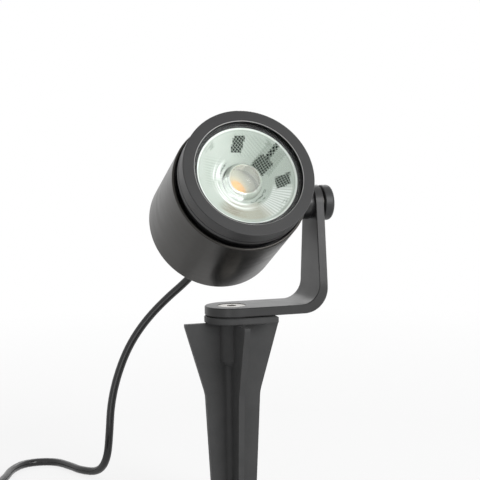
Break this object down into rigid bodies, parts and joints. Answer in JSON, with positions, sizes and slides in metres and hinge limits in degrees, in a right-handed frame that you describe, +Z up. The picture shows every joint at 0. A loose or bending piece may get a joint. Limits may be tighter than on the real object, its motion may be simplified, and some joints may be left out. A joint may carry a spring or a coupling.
{
  "type": "garden spike spotlight",
  "caption": "Low-voltage garden spotlight: a tilting round lamp head on a bent bar bracket that pans on a cross-finned ground spike, with its lead and plug.",
  "frame": {"origin": "on the soil line, on the axis of the foot screw that the bracket pans on", "axes": "+Z up, +X along the bracket foot towards its leg, -Y where the lamp looks"},
  "size_m": [0.2119, 0.1923, 0.3458],
  "materials": {
    "spike_plastic": "glass-filled moulded plastic, fine grain",
    "black_metal": "satin dark grey coated aluminium",
    "turned_black": "black anodised aluminium, fine turned finish",
    "bare_aluminium": "machined",
    "stainless": "bright stainless",
    "brass": "turned",
    "black_rubber": "satin",
    "knob_plastic": "fine grain",
    "clear_glass": "polished",
    "optic": "moulded, pillow textured",
    "black_plastic": "fine grain",
    "led_white": "ceramic white",
    "led_yellow": "silicone with phosphor",
    "board_green": "solder mask",
    "board_white": "white solder mask on aluminium",
    "part_dark": "moulded components",
    "pad_grey": "silicone pad",
    "wire_red": "insulation",
    "lead_black": "glossy round sheath",
    "tie_black": "moulded"
  },
  "bodies": {
    "ground_spike": {"spike": "spike_plastic", "spike_insert": "brass", "pan_washer": "black_plastic", "foot_screw": "stainless"},
    "bracket": {"bracket": "black_metal", "lead_drop": "lead_black", "lead_lying": "lead_black", "lead_coil": "lead_black", "lead_tail": "lead_black", "coil_tie": "tie_black", "plug_body": "knob_plastic", "plug_seal": "black_rubber", "plug_pins": "brass"},
    "knob_carrier": {"knob_washer": "stainless"},
    "knob": {"tilt_knob": "knob_plastic", "knob_stud": "stainless"},
    "head": {"pivot_boss": "black_metal", "pivot_nut": "stainless", "pivot_washer": "black_rubber", "housing": "turned_black", "bezel": "black_metal", "bezel_oring": "black_rubber", "glass_gasket": "black_rubber", "front_glass": "clear_glass", "lens": "optic", "lens_holder": "black_plastic", "led_board": "board_white", "led_base": "led_white", "led_emitter": "led_yellow", "led_screws": "stainless", "thermal_pad": "pad_grey", "led_wires": "wire_red", "driver_board": "board_green", "driver_parts": "part_dark", "board_pillars": "bare_aluminium", "rear_cover": "black_metal", "rear_oring": "black_rubber", "cover_screws": "stainless", "gland_body": "black_plastic", "gland_seal": "black_rubber", "gland_nut": "black_plastic", "lead_entry": "lead_black", "lead_cores": "wire_red"}
  },
  "joints": [
    {"name": "pan", "type": "hinge", "parent": "ground_spike", "child": "bracket", "pos_m": [0, 0, 0.116], "axis": [0, 0, 1], "range_deg": [-180, 180]},
    {"name": "tilt", "type": "hinge", "parent": "bracket", "child": "head", "pos_m": [-0.002, 0, 0.1715], "axis": [1, 0, 0], "range_deg": [-63, 60], "deforming": ["lead_drop"]},
    {"name": "knob_draw", "type": "slide", "parent": "bracket", "child": "knob_carrier", "axis": [1, 0, 0], "range_m": [0, 0.0021]},
    {"name": "knob_turn", "type": "hinge", "parent": "knob_carrier", "child": "knob", "pos_m": [0.053, 0, 0.1715], "axis": [1, 0, 0], "range_deg": [0, 720]}
  ],
  "couplings": [
    {"joint": "knob_draw", "follows": "knob_turn", "m_per_rad": 0.00015915}
  ]
}
